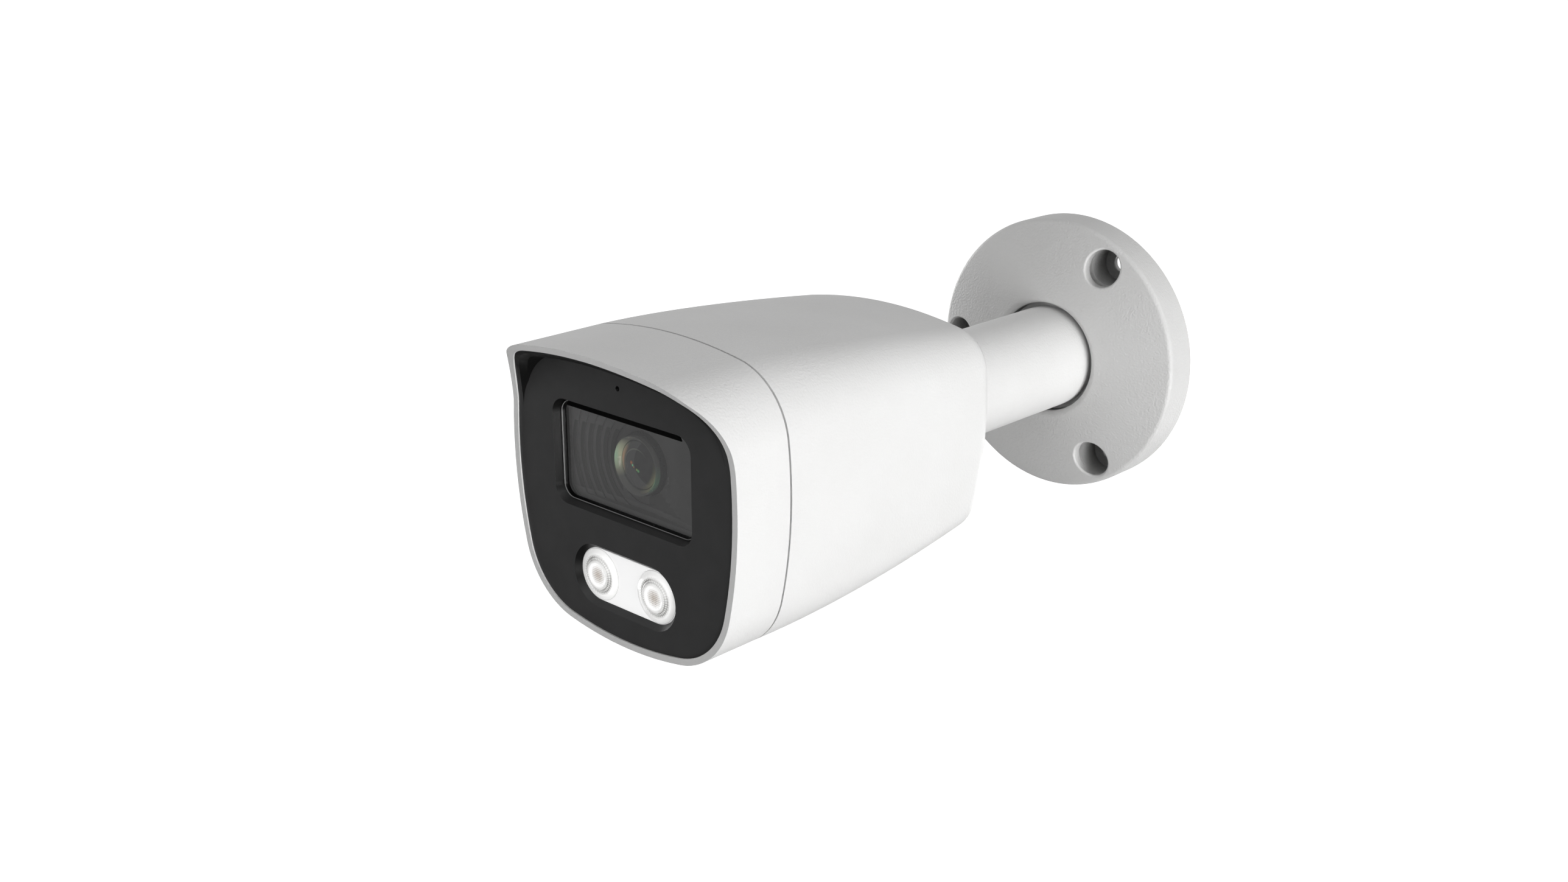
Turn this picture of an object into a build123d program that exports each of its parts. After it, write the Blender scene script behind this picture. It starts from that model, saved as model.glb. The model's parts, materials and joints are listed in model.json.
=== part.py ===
from build123d import *
from math import cos, pi, radians, sin
import os

# Compact bullet security camera on a wall bracket, in millimetres.
# Origin: centre of the wall plate's back face. +Y points into the wall, the camera looks along -Y, +Z is up.
# "Depth" is the distance behind the camera's black face, so the wall is at depth face_to_wall.

# ---------------------------------------------------------------- driving dimensions
face_to_wall = 156.5

# housing section at the front: four large arcs with rounded corners
body_top = 31.9
body_bottom = -31.9
body_half_width = 33.1
widest_height = 5.0
crown_radius = 110.0
floor_radius = 87.0
side_radius = 97.0
top_corner_radius = 15.7
bottom_corner_radius = 17.8

# the housing gets smaller towards its rear end, slowly at first
seam_depth = 14.5
seam_width = 0.5
taper_end_depth = 78.4
top_drop, top_power = 5.4, 1.52
bottom_rise, bottom_power = 6.4, 1.81
side_shrink, side_power = 3.3, 1.59
widest_rise = 1.4
top_corner_shrink = 5.3
bottom_corner_shrink = 9.1
body_length = 83.8
rear_edge_radius = 5.4
wall = 2.2
rear_wall = 3.0
loft_depths = (28, 42, 56, 70)
spigot_end = 19.0
spigot_clearance = 0.25

# visor, the front cover's top edge that reaches forward
visor_start_height = 13.0
visor_turn_height = 26.5
visor_turn_reach = 5.4
visor_reach = 8.6
visor_tip_slope = (-0.34, 1)
rim = 1.4

# black front panel
panel_recess = 0.3
panel_thickness = 3.0
panel_gap = 0.05
liner_foot_inset = 3.9
liner_front_inset = 2.1
liner_bevel = 1.0
window_width, window_height, window_corner = 39.4, 21.1, 3.0
window_z = 6.4
window_bevel_angle = 15.0
pill_width, pill_height = 28.4, 11.4
pill_z = -18.6
pill_bevel_angle = 40.0
pill_plate_depth = 1.5
lamp_spacing = 17.0
microphone_z = 23.3
microphone_hole_radius = 0.55

# window glass, its gasket and the stepped shroud, one behind the other
glass_width, glass_height, glass_corner = 42.6, 24.8, 4.5
glass_back = panel_thickness + 1.5
gasket_back = glass_back + 0.6
shroud_back = gasket_back + 4.0
shroud_steps = 6
shroud_step_radius = 18.4
shroud_step_pitch = 1.95
shroud_step_depth = 0.35

# lens
lens_z = 6.3
lens_front_depth = 5.2
barrel_head_radius = 6.5
barrel_thread_radius = 6.0
lens_glass_radius = 5.1
lens_glass_back = 8.8
barrel_back = 21.0

# boards, from the front: sensor board, main board, heat spreader
frame_back = 11.2
sensor_board_front, sensor_board_back = 26.5, 27.7
main_board_front, main_board_back = 43.0, 44.6
spreader_front, spreader_back = 49.4, 51.4
filter_front, filter_back = 21.6, 22.8
filter_travel = 6.4
frame_posts = [(12.5, 20.3), (-12.5, 20.3), (12.5, -7.7), (-12.5, -7.7)]
stack_places = [(17.4, 21.6), (-17.4, 21.6), (17.4, -9.0), (-17.4, -9.0)]

# cable gland in the rear wall
gland_place = (16.5, -12.5)
gland_neck_radius = 5.0
gland_flange_radius = 6.2
gland_flange_thickness = 2.0
cable_radius = 2.4

# bracket: knuckle on the camera, arm, wall plate
arm_radius = 12.9
hinge_depth = 99.1
hinge_y = hinge_depth - face_to_wall
fork_half_gap = 5.3
fork_gap_length = 9.6
tongue_radius = 9.0
tongue_half_width = 4.5
tongue_height = 12.0
pin_radius = 2.5
running_gap = 0.05
spigot_radius = 9.0
flange_radius = 12.0
flange_clearance = 0.3
flange_seat = 1.2
knuckle_front = 73.0
knuckle_bore_radius = 5.5
nut_radius = 13.0
nut_length = 4.15
washer_thickness = 0.8
screw_head_radius, screw_head_seat, screw_head_end = 3.4, 9.5, 12.0
nut_corner_radius, nut_seat, nut_thickness = 4.6, 9.0, 2.7
arm_bore_radius = 7.5
arm_bore_front = 124.0
foot_flange_radius = 17.5
foot_front, foot_back = face_to_wall - 9.9, face_to_wall - 7.4
plate_radius = 35.0
plate_edge_height = 8.7
plate_lip_height = 13.3
plate_opening_radius = 14.0
plate_shell = 2.5
screw_circle_radius = 28.65
screw_hole_radius = 2.25
counterbore_radius = 4.6
counterbore_floor = 1.5
counterbore_edge = 0.5
foot_radius = 10.0
seat_height = 9.95
boss_radius = 6.2
screw_angles = (60, 180, 300)
retainer_angles = (0, 120, 240)
retainer_front, retainer_back = face_to_wall - 5.0, face_to_wall - 3.5
retainer_radius = 25.6
retainer_screw_radius = 1.5
retainer_screw_circle = 22.4

# fasteners
cover_screw_places = [(24.6, 22.4), (-24.6, 22.4), (22.5, -22.1), (-22.5, -22.1)]
cover_screw_radius = 1.25
cover_post_radius = 3.3
board_screw_radius = 1.0
recess_share = 0.28

# lens pieces are turned about the optical axis; their profiles are (radius, depth)
optical_plane = Plane(origin=(0, -face_to_wall, lens_z), x_dir=(1, 0, 0), z_dir=(0, 0, 1))
optical_axis = Axis((0, 0, lens_z), (0, 1, 0))

os.makedirs("parts", exist_ok=True)


def finish(builder, label):
    """Name a finished piece and write it."""
    builder.part.label = label
    export_step(builder.part, f"parts/{label}.step")


def station(depth):
    """Plane at a depth behind the face; its normal points forward, local X is across and local Y is up."""
    return Plane.XZ.offset(face_to_wall - depth)


def housing_outline(depth=0.0, inset=0.0):
    """Outline of the housing at a depth, shrunk by inset all round."""
    share = max(0.0, depth - seam_depth) / (taper_end_depth - seam_depth)
    top = body_top - top_drop * share**top_power
    bottom = body_bottom + bottom_rise * share**bottom_power
    half_width = body_half_width - side_shrink * share**side_power
    widest = widest_height + widest_rise * share
    with Locations((0, top - crown_radius)):
        Circle(crown_radius - inset)
    with Locations((0, bottom + floor_radius)):
        Circle(floor_radius - inset, mode=Mode.INTERSECT)
    with Locations(Location((half_width - side_radius, widest, 0), (0, 0, 180))):
        Circle(side_radius - inset, mode=Mode.INTERSECT)
    with Locations((side_radius - half_width, widest)):
        Circle(side_radius - inset, mode=Mode.INTERSECT)
    top_corner = top_corner_radius - top_corner_shrink * share - inset
    bottom_corner = bottom_corner_radius - bottom_corner_shrink * share - inset
    fillet(vertices().sort_by(Axis.Y)[-2:], top_corner)
    fillet(vertices().sort_by(Axis.Y)[:2], bottom_corner)


def slab(front, back, mode=Mode.ADD):
    """Extrude the sketch just drawn at the back depth forward to the front depth."""
    extrude(amount=back - front, mode=mode)


def ring(outer, inner, front, back, centre=(0, 0)):
    """Flat ring about the front-to-back direction."""
    with BuildSketch(station(back)) as profile:
        with Locations(centre):
            Circle(outer)
            Circle(inner, mode=Mode.SUBTRACT)
    extrude(profile.sketch, amount=back - front)


def discs(places, radius, front, back, mode=Mode.ADD):
    """Equal round bars along the front-to-back direction."""
    with BuildSketch(station(back)) as profile:
        with Locations(*places):
            Circle(radius)
    extrude(profile.sketch, amount=back - front, mode=mode)


def block(width, height, front, back, centre=(0, 0), corner=0.0, mode=Mode.ADD):
    """Box with optional rounded corners, seen from the front."""
    with BuildSketch(station(back)) as profile:
        with Locations(centre):
            if corner:
                RectangleRounded(width, height, corner)
            else:
                Rectangle(width, height)
    extrude(profile.sketch, amount=back - front, mode=mode)


def cross_recess(places, head_radius, depth, sinks):
    """Cross recess in screw heads, sunk backwards from a depth, or forwards when sinks is negative."""
    with BuildSketch(station(depth)) as cross:
        with Locations(*places):
            Rectangle(head_radius, head_radius * recess_share)
            Rectangle(head_radius * recess_share, head_radius)
    extrude(cross.sketch, amount=-sinks, mode=Mode.SUBTRACT)


def screws(places, shank_radius, head_radius, head_front, head_back, tip):
    """Pan head screws with a cross recess, heads towards the front."""
    discs(places, head_radius, head_front, head_back)
    discs(places, shank_radius, head_back, tip)
    cross_recess(places, head_radius, head_front, 0.8)


def rear_screws(places, shank_radius, head_radius, head_front, head_back, tip):
    """Pan head screws with a cross recess, driven from behind."""
    discs(places, head_radius, head_front, head_back)
    discs(places, shank_radius, tip, head_front)
    cross_recess(places, head_radius, head_back, -0.7)


def hinge_disc(radius, start, length, mode=Mode.ADD):
    """Round bar about the tilt axis, from x = start over a signed length."""
    with BuildSketch(Plane.YZ.offset(start)) as profile:
        with Locations((hinge_y, 0)):
            Circle(radius)
    extrude(profile.sketch, amount=length, mode=mode)


def hinge_hexagon(radius, start, length, mode=Mode.ADD):
    """Six-sided bar about the tilt axis, from x = start over a signed length."""
    with BuildSketch(Plane.YZ.offset(start)) as profile:
        with Locations((hinge_y, 0)):
            RegularPolygon(radius, 6)
    extrude(profile.sketch, amount=length, mode=mode)


def around(radius, angles):
    """Places on a circle about the arm's axis, seen from the front."""
    return [(radius * cos(radians(angle)), radius * sin(radians(angle))) for angle in angles]


def turned(points):
    """Turn a profile of (radius, depth) corners about the optical axis."""
    with BuildSketch(optical_plane) as profile:
        with BuildLine():
            Polyline(*points, close=True)
        make_face()
    revolve(profile.sketch, axis=optical_axis)


def space_before_visor(setback=0.0):
    """Side view of all the space in front of the rim: flat below, sweeping forward over the visor."""
    face = -face_to_wall + setback
    with BuildLine() as side_view:
        foot = Line((face - 30, -45), (face, -45))
        front = Line(foot @ 1, (face, visor_start_height))
        sweep = TangentArc(
            front @ 1, (face - visor_turn_reach, visor_turn_height), tangent=(0, 1)
        )
        tip = Spline(
            sweep @ 1,
            (face - visor_reach, body_top),
            tangents=(sweep % 1, visor_tip_slope),
        )
        top = Line(tip @ 1, (face - visor_reach - 1.4, body_top + 4))
        Polyline(top @ 1, (face - 30, body_top + 4), foot @ 0)
    make_face(side_view.edges())


# ---------------------------------------------------------------- housing shells
seam_front = seam_depth - seam_width / 2
seam_back = seam_depth + seam_width / 2
inner_rear_face = body_length - rear_wall
seat_depth = body_length - flange_seat

with BuildPart() as rear_body:
    # tapered outer shell with a rounded rear edge
    for depth in (seam_back, *loft_depths, body_length):
        with BuildSketch(station(depth)):
            housing_outline(depth)
    loft()
    fillet(rear_body.faces().sort_by(Axis.Y)[-1].edges(), rear_edge_radius)
    # hollow inside
    for depth in (seam_back, *loft_depths, inner_rear_face):
        with BuildSketch(station(depth)):
            housing_outline(depth, wall)
    loft(mode=Mode.SUBTRACT)
    # posts for the cover screws
    discs(cover_screw_places, cover_post_radius, seam_back, 27)
    discs(cover_screw_places, cover_screw_radius, seam_depth, 23, Mode.SUBTRACT)
    # seat and bore for the knuckle
    discs([(0, 0)], flange_radius + flange_clearance, seat_depth, body_length, Mode.SUBTRACT)
    discs([(0, 0)], spigot_radius + running_gap, 75, body_length, Mode.SUBTRACT)
    # hole for the cable gland
    discs([gland_place], gland_neck_radius, 75, body_length, Mode.SUBTRACT)
finish(rear_body, "rear_body")

with BuildPart() as front_collar:
    with BuildSketch(station(seam_front)):
        housing_outline()
    slab(-visor_reach - 2, seam_front)
    with BuildSketch(Plane.YZ):
        space_before_visor()
    extrude(amount=40, both=True, mode=Mode.SUBTRACT)
    # spigot that reaches into the rear body
    with BuildSketch(station(spigot_end)):
        housing_outline(inset=wall + spigot_clearance)
    slab(seam_front - 1, spigot_end)
    # room for the panel, an inner flange for the screws, and the hollow behind it
    for inset, front, back in ((rim, -visor_reach - 3, 6.0), (5.8, 5.0, 9.0), (3.8, 8.2, 20.0)):
        with BuildSketch(station(back)):
            housing_outline(inset=inset)
        slab(front, back, Mode.SUBTRACT)
    # pads that carry the cover screws
    discs(cover_screw_places, 3.1, 6.0, seam_front)
    discs(cover_screw_places, 3.7, seam_front, 20, Mode.SUBTRACT)
    discs(cover_screw_places, cover_screw_radius + 0.15, 5, 20, Mode.SUBTRACT)
finish(front_collar, "front_collar")

with BuildPart() as front_seal:
    with BuildSketch(station(seam_back)):
        housing_outline(inset=0.7)
    slab(seam_front, seam_back)
    with BuildSketch(station(seam_back)):
        housing_outline(inset=2.1)
    slab(seam_front, seam_back, Mode.SUBTRACT)
finish(front_seal, "front_seal")

# ---------------------------------------------------------------- front panel and window
with BuildPart() as front_panel:
    with BuildSketch(station(panel_thickness)):
        housing_outline(inset=rim + panel_gap)
    slab(-visor_reach - 2, panel_thickness)
    with BuildSketch(Plane.YZ):
        space_before_visor(panel_recess)
    extrude(amount=40, both=True, mode=Mode.SUBTRACT)
    # hollow under the visor, wider towards the front
    for depth, inset in ((panel_recess, liner_foot_inset), (-visor_reach - 2, liner_front_inset)):
        with BuildSketch(station(depth)):
            housing_outline(inset=inset)
    loft(mode=Mode.SUBTRACT)
    # bevel along the front edge of that hollow
    hollow_edges = front_panel.edges().filter_by(
        lambda edge: edge.center().Y < -face_to_wall - 6 and 28 < edge.center().Z < 29
    )
    chamfer(hollow_edges, liner_bevel)
    # window and lamp openings, both bevelled
    with BuildSketch(station(panel_thickness)):
        with Locations((0, window_z)):
            RectangleRounded(window_width, window_height, window_corner)
    extrude(amount=panel_thickness, taper=-window_bevel_angle, mode=Mode.SUBTRACT)
    with BuildSketch(station(pill_plate_depth)):
        with Locations((0, pill_z)):
            SlotOverall(pill_width + 0.2, pill_height + 0.2)
    extrude(amount=pill_plate_depth, taper=-pill_bevel_angle, mode=Mode.SUBTRACT)
    with BuildSketch(station(panel_thickness)):
        with Locations((0, pill_z)):
            SlotOverall(pill_width + 0.2, pill_height + 0.2)
    slab(pill_plate_depth, panel_thickness, Mode.SUBTRACT)
    discs([(0, microphone_z)], microphone_hole_radius, -1, panel_thickness, Mode.SUBTRACT)
finish(front_panel, "front_panel")

with BuildPart() as window_glass:
    block(glass_width, glass_height, panel_thickness, glass_back, (0, window_z), glass_corner)
    chamfer(window_glass.edges().filter_by(Plane.XZ), 0.2)
finish(window_glass, "window_glass")

with BuildPart() as window_gasket:
    block(glass_width, glass_height, glass_back, gasket_back, (0, window_z), glass_corner)
    block(39.4, 21.6, glass_back, gasket_back, (0, window_z), 3.0, Mode.SUBTRACT)
finish(window_gasket, "window_gasket")

with BuildPart() as lens_shroud:
    block(glass_width, glass_height, gasket_back, shroud_back, (0, window_z), glass_corner)
    # round steps about the lens, each a little deeper than the last
    for step in range(shroud_steps):
        step_depth = shroud_step_depth * (step + 1)
        with BuildSketch(station(gasket_back + step_depth)) as terrace:
            with Locations((0, lens_z)):
                Circle(shroud_step_radius - shroud_step_pitch * step)
            with Locations((0, window_z)):
                Rectangle(37.6, 19.8, mode=Mode.INTERSECT)
        extrude(terrace.sketch, amount=step_depth, mode=Mode.SUBTRACT)
    discs([(0, lens_z)], barrel_head_radius + 0.2, gasket_back, shroud_back, Mode.SUBTRACT)
finish(lens_shroud, "lens_shroud")

# ---------------------------------------------------------------- microphone
with BuildPart() as mic_boot:
    ring(2.9, 2.0, panel_thickness + 0.6, panel_thickness + 2.8, (0, microphone_z))
    ring(2.9, 0.7, panel_thickness, panel_thickness + 0.6, (0, microphone_z))
finish(mic_boot, "mic_boot")

with BuildPart() as microphone:
    discs([(0, microphone_z)], 2.0, panel_thickness + 0.6, panel_thickness + 2.1)
    discs([(0, microphone_z)], 0.5, panel_thickness + 0.6, panel_thickness + 1.0, Mode.SUBTRACT)
finish(microphone, "microphone")

# ---------------------------------------------------------------- lamps
lamp_places = [(-lamp_spacing / 2, pill_z), (lamp_spacing / 2, pill_z)]
lamp_radius = 5.2
lamp_board_front = 7.6

with BuildPart() as led_plate:
    with BuildSketch(station(pill_plate_depth + 1.2)):
        with Locations((0, pill_z)):
            SlotOverall(pill_width, pill_height)
        with Locations(*lamp_places):
            Circle(lamp_radius + 0.1, mode=Mode.SUBTRACT)
    slab(pill_plate_depth, pill_plate_depth + 1.2)
finish(led_plate, "led_plate")

with BuildPart() as led_lenses:
    # front disc, then a cone that narrows to the light chip, with a pocket for the chip
    for place in lamp_places:
        with BuildSketch(station(pill_plate_depth + 1.0)) as disc:
            with Locations(place):
                Circle(lamp_radius)
        extrude(disc.sketch, amount=1.0)
        with BuildSketch(station(pill_plate_depth + 1.0)) as wide_end:
            with Locations(place):
                Circle(lamp_radius - 0.4)
        with BuildSketch(station(lamp_board_front - 0.1)) as narrow_end:
            with Locations(place):
                Circle(3.4)
        loft([wide_end.sketch, narrow_end.sketch])
    discs(lamp_places, 2.7, lamp_board_front - 1.8, lamp_board_front, Mode.SUBTRACT)
finish(led_lenses, "led_lenses")

with BuildPart() as led_chips:
    for place in lamp_places:
        block(3.5, 3.5, lamp_board_front - 1.2, lamp_board_front, place)
    discs(lamp_places, 1.4, lamp_board_front - 1.5, lamp_board_front - 1.2)
finish(led_chips, "led_chips")

led_screw_places = [(-13.6, pill_z + 4.0), (13.6, pill_z + 4.0)]
with BuildPart() as led_board:
    block(31, 12.4, lamp_board_front, lamp_board_front + 1.2, (0, pill_z), 2.0)
    discs(led_screw_places, board_screw_radius, lamp_board_front, 10, Mode.SUBTRACT)
finish(led_board, "led_board")

with BuildPart() as led_screws:
    screws(led_screw_places, board_screw_radius, 1.6, lamp_board_front - 1.2, lamp_board_front, 10.9)
finish(led_screws, "led_screws")

# ---------------------------------------------------------------- lens
with BuildPart() as lens_barrel:
    turned(
        [
            (lens_glass_radius + 0.1, lens_front_depth + 0.8),
            (barrel_head_radius, lens_front_depth + 0.8),
            (barrel_head_radius, 9.6),
            (barrel_thread_radius, 10.0),
            (barrel_thread_radius, barrel_back),
            (3.0, barrel_back),
            (3.0, 11.0),
            (lens_glass_radius - 0.4, 9.0),
            (lens_glass_radius + 0.1, 9.0),
        ]
    )
finish(lens_barrel, "lens_barrel")

with BuildPart() as lens_retaining_ring:
    ring(6.2, lens_glass_radius, lens_front_depth, lens_front_depth + 0.8, (0, lens_z))
    with BuildSketch(station(lens_front_depth + 0.4)) as notches:
        with Locations((0, lens_z)):
            with PolarLocations(5.9, 4, 45):
                Rectangle(1.0, 1.4)
    extrude(notches.sketch, amount=0.4, mode=Mode.SUBTRACT)
finish(lens_retaining_ring, "lens_retaining_ring")

with BuildPart() as lens_front_element:
    # meniscus with a rounded front and a hollowed back
    with BuildSketch(optical_plane):
        with BuildLine():
            near = TangentArc(
                (0, lens_front_depth + 0.1),
                (lens_glass_radius, lens_front_depth + 1.1),
                tangent=(1, 0),
            )
            far = TangentArc(
                (0, lens_front_depth + 2.0),
                (lens_glass_radius - 1.0, lens_glass_back),
                tangent=(1, 0),
            )
            Polyline(near @ 1, (lens_glass_radius, lens_glass_back), far @ 1)
            Line(far @ 0, near @ 0)
        make_face()
    revolve(axis=optical_axis)
finish(lens_front_element, "lens_front_element")

with BuildPart() as lens_rear_element:
    with BuildSketch(optical_plane):
        with BuildLine():
            near = TangentArc((0, 13.0), (2.95, 14.2), tangent=(1, 0))
            far = TangentArc((0, 16.5), (2.95, 15.4), tangent=(1, 0))
            Line(near @ 1, far @ 1)
            Line(far @ 0, near @ 0)
        make_face()
    revolve(axis=optical_axis)
finish(lens_rear_element, "lens_rear_element")

with BuildPart() as lens_holder:
    block(16.4, 16.4, 13.0, sensor_board_front, (0, lens_z), 1.5)
    block(22.0, 12.0, 24.5, sensor_board_front, (0, lens_z), 1.5)
    discs([(0, lens_z)], barrel_thread_radius, 13.0, barrel_back, Mode.SUBTRACT)
    block(9.2, 9.2, 20.5, sensor_board_front, (0, lens_z), mode=Mode.SUBTRACT)
    # track for the sliding filter
    block(24.0, 9.2, filter_front - 0.3, filter_back + 0.3, (0, lens_z), mode=Mode.SUBTRACT)
finish(lens_holder, "lens_holder")

filter_centres = (-filter_travel, 0)
with BuildPart() as filter_frame:
    block(15.6, 8.4, filter_front, filter_back, (-filter_travel / 2, lens_z), 0.8)
    for centre in filter_centres:
        block(5.6, 6.0, filter_front, filter_back, (centre, lens_z), mode=Mode.SUBTRACT)
finish(filter_frame, "filter_frame")

with BuildPart() as filter_glasses:
    for centre in filter_centres:
        block(5.6, 6.0, filter_front + 0.3, filter_back - 0.3, (centre, lens_z))
finish(filter_glasses, "filter_glasses")

with BuildPart() as filter_coil:
    block(9.0, 4.4, 17.0, 24.0, (0, lens_z - 10.4), 1.0)
finish(filter_coil, "filter_coil")

# ---------------------------------------------------------------- inner frame and sensor board
with BuildPart() as inner_frame:
    with BuildSketch(station(frame_back)):
        housing_outline(inset=4.1)
    slab(shroud_back, frame_back)
    discs([(0, lens_z)], barrel_head_radius + 0.2, shroud_back, frame_back, Mode.SUBTRACT)
    discs(cover_screw_places, 3.4, shroud_back, frame_back, Mode.SUBTRACT)
    discs(frame_posts, 2.6, frame_back, sensor_board_front)
    discs(frame_posts, board_screw_radius, 20.0, sensor_board_front, Mode.SUBTRACT)
    discs(led_screw_places, board_screw_radius, shroud_back, frame_back, Mode.SUBTRACT)
finish(inner_frame, "inner_frame")

with BuildPart() as sensor_board:
    block(40.0, 36.0, sensor_board_front, sensor_board_back, (0, lens_z), 1.5)
    discs(frame_posts, board_screw_radius, sensor_board_front, sensor_board_back, Mode.SUBTRACT)
finish(sensor_board, "sensor_board")

with BuildPart() as image_sensor:
    block(7.6, 6.6, 25.4, sensor_board_front, (0, lens_z))
finish(image_sensor, "image_sensor")

with BuildPart() as sensor_screws:
    rear_screws(frame_posts, board_screw_radius, 1.9, sensor_board_back, 29.0, 20.5)
finish(sensor_screws, "sensor_screws")

# ---------------------------------------------------------------- main board, heat spreader and their stack
with BuildPart() as board_standoffs:
    with BuildSketch(station(main_board_front)):
        with Locations(*stack_places):
            RegularPolygon(2.4, 6)
    slab(sensor_board_back, main_board_front)
    discs(stack_places, board_screw_radius, 36.0, main_board_front, Mode.SUBTRACT)
finish(board_standoffs, "board_standoffs")

with BuildPart() as main_board:
    block(42.0, 44.0, main_board_front, main_board_back, (0, 2.5), 2.0)
    discs(stack_places, board_screw_radius, main_board_front, main_board_back, Mode.SUBTRACT)
finish(main_board, "main_board")

with BuildPart() as board_spacers:
    discs(stack_places, 2.4, main_board_back, spreader_front)
    discs(stack_places, board_screw_radius, main_board_back, spreader_front, Mode.SUBTRACT)
finish(board_spacers, "board_spacers")

with BuildPart() as heat_spreader:
    block(40.0, 36.0, spreader_front, spreader_back, (0, lens_z), 2.0)
    for rib in range(7):
        block(1.4, 30.0, spreader_back, spreader_back + 5.0, (4.6 * (rib - 3), lens_z))
    discs(stack_places, board_screw_radius, spreader_front, spreader_back, Mode.SUBTRACT)
finish(heat_spreader, "heat_spreader")

with BuildPart() as board_screws:
    rear_screws(stack_places, board_screw_radius, 1.9, spreader_back, spreader_back + 1.4, 36.5)
finish(board_screws, "board_screws")

chip_back = main_board_back + 1.4
with BuildPart() as main_chips:
    block(14.0, 14.0, main_board_back, chip_back, (0, lens_z))
    block(9.0, 7.0, main_board_back, main_board_back + 1.0, (0, -8.0))
    block(6.0, 5.0, main_board_back, main_board_back + 1.2, (-13.0, 4.0))
finish(main_chips, "main_chips")

with BuildPart() as thermal_pad:
    block(12.0, 12.0, chip_back, spreader_front, (0, lens_z))
finish(thermal_pad, "thermal_pad")

with BuildPart() as board_connectors:
    # plugs for the cable tail at the foot of the board, and the two ribbon sockets
    for across in (-13.0, 0.0, 13.0):
        block(9.0, 5.0, main_board_back, main_board_back + 5.0, (across, -15.6), 0.6)
        block(7.2, 3.2, main_board_back + 1.0, main_board_back + 5.0, (across, -15.6), mode=Mode.SUBTRACT)
    block(13.0, 3.0, sensor_board_back, sensor_board_back + 1.6, (0, -6.0))
    block(13.0, 3.0, main_board_front - 1.6, main_board_front, (0, -6.0))
finish(board_connectors, "board_connectors")

with BuildPart() as sensor_ribbon:
    # flat ribbon that leaves one socket, loops down and enters the other
    ribbon_front = sensor_board_back + 0.8 - face_to_wall
    ribbon_back = main_board_front - 0.8 - face_to_wall
    loop_radius = (ribbon_back - ribbon_front) / 2
    with BuildSketch(Plane.YZ):
        with BuildLine() as ribbon_route:
            drop = Line((ribbon_front, -7.5), (ribbon_front, -11.0))
            loop = RadiusArc(drop @ 1, (ribbon_back, -11.0), -loop_radius)
            Line(loop @ 1, (ribbon_back, -7.5))
        trace(line_width=0.3)
    extrude(amount=5.0, both=True)
finish(sensor_ribbon, "sensor_ribbon")

with BuildPart() as cover_screws:
    screws(cover_screw_places, cover_screw_radius, 2.2, 4.3, 6.0, 22.5)
finish(cover_screws, "cover_screws")

# ---------------------------------------------------------------- rear of the camera: gland and knuckle
with BuildPart() as cable_gland:
    discs([gland_place], gland_flange_radius, body_length, body_length + gland_flange_thickness)
    discs([gland_place], gland_neck_radius, inner_rear_face, body_length)
    discs([gland_place], gland_flange_radius, inner_rear_face - gland_flange_thickness, inner_rear_face)
    fillet(cable_gland.edges().filter_by(GeomType.CIRCLE).sort_by(Axis.Y)[-1], 0.8)
    discs([gland_place], cable_radius, 70, body_length + 4, Mode.SUBTRACT)
finish(cable_gland, "cable_gland")

with BuildPart() as knuckle:
    neck_back = body_length + flange_seat
    discs([(0, 0)], spigot_radius, knuckle_front, seat_depth + 1)
    discs([(0, 0)], flange_radius, seat_depth + running_gap, neck_back)
    fillet(knuckle.edges().filter_by(GeomType.CIRCLE).sort_by(Axis.Y)[-1], 0.5)
    block(2 * tongue_half_width, tongue_height, neck_back, hinge_depth)
    hinge_disc(tongue_radius, -tongue_half_width, 2 * tongue_half_width)
    hinge_disc(pin_radius + running_gap, -tongue_half_width, 2 * tongue_half_width, Mode.SUBTRACT)
    discs([(0, 0)], knuckle_bore_radius, knuckle_front - 1, seat_depth, Mode.SUBTRACT)
finish(knuckle, "knuckle")

washer_back = inner_rear_face - running_gap
washer_front = washer_back - washer_thickness
with BuildPart() as swivel_washer:
    ring(nut_radius, spigot_radius, washer_front, washer_back)
finish(swivel_washer, "swivel_washer")

with BuildPart() as swivel_nut:
    ring(nut_radius, spigot_radius, washer_front - nut_length, washer_front)
    # slots for a pin spanner
    with BuildSketch(station(washer_front - nut_length + 2.0)) as spanner_slots:
        with PolarLocations(nut_radius - 0.6, 4):
            Rectangle(2.4, 3.0)
    extrude(spanner_slots.sketch, amount=2.0, mode=Mode.SUBTRACT)
finish(swivel_nut, "swivel_nut")

# ---------------------------------------------------------------- bracket arm
with BuildPart() as arm:
    discs([(0, 0)], arm_radius, hinge_depth - arm_radius - 1, foot_back)
    # fork end rounded about the tilt axis, with a slot for the knuckle's tongue
    with BuildSketch(Plane.YZ):
        with Locations((hinge_y, 0)):
            Circle(arm_radius)
        with Locations((hinge_y + 25, 0)):
            Rectangle(50, 2 * arm_radius)
    extrude(amount=arm_radius, both=True, mode=Mode.INTERSECT)
    block(2 * fork_half_gap, 30, 80, hinge_depth + fork_gap_length, mode=Mode.SUBTRACT)
    # foot that turns in the wall plate
    discs([(0, 0)], foot_flange_radius, foot_front, foot_back)
    discs([(0, 0)], foot_radius, foot_back, face_to_wall - 3.2)
    discs([(0, 0)], arm_bore_radius, arm_bore_front, face_to_wall, Mode.SUBTRACT)
    # screw hole, sunk seat for its head and hexagonal pocket for its nut
    hinge_disc(pin_radius, -arm_radius, 2 * arm_radius, Mode.SUBTRACT)
    hinge_disc(screw_head_radius + 0.3, screw_head_seat, arm_radius, Mode.SUBTRACT)
    hinge_hexagon(nut_corner_radius + 0.12, -nut_seat, -arm_radius, Mode.SUBTRACT)
finish(arm, "arm")

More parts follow.
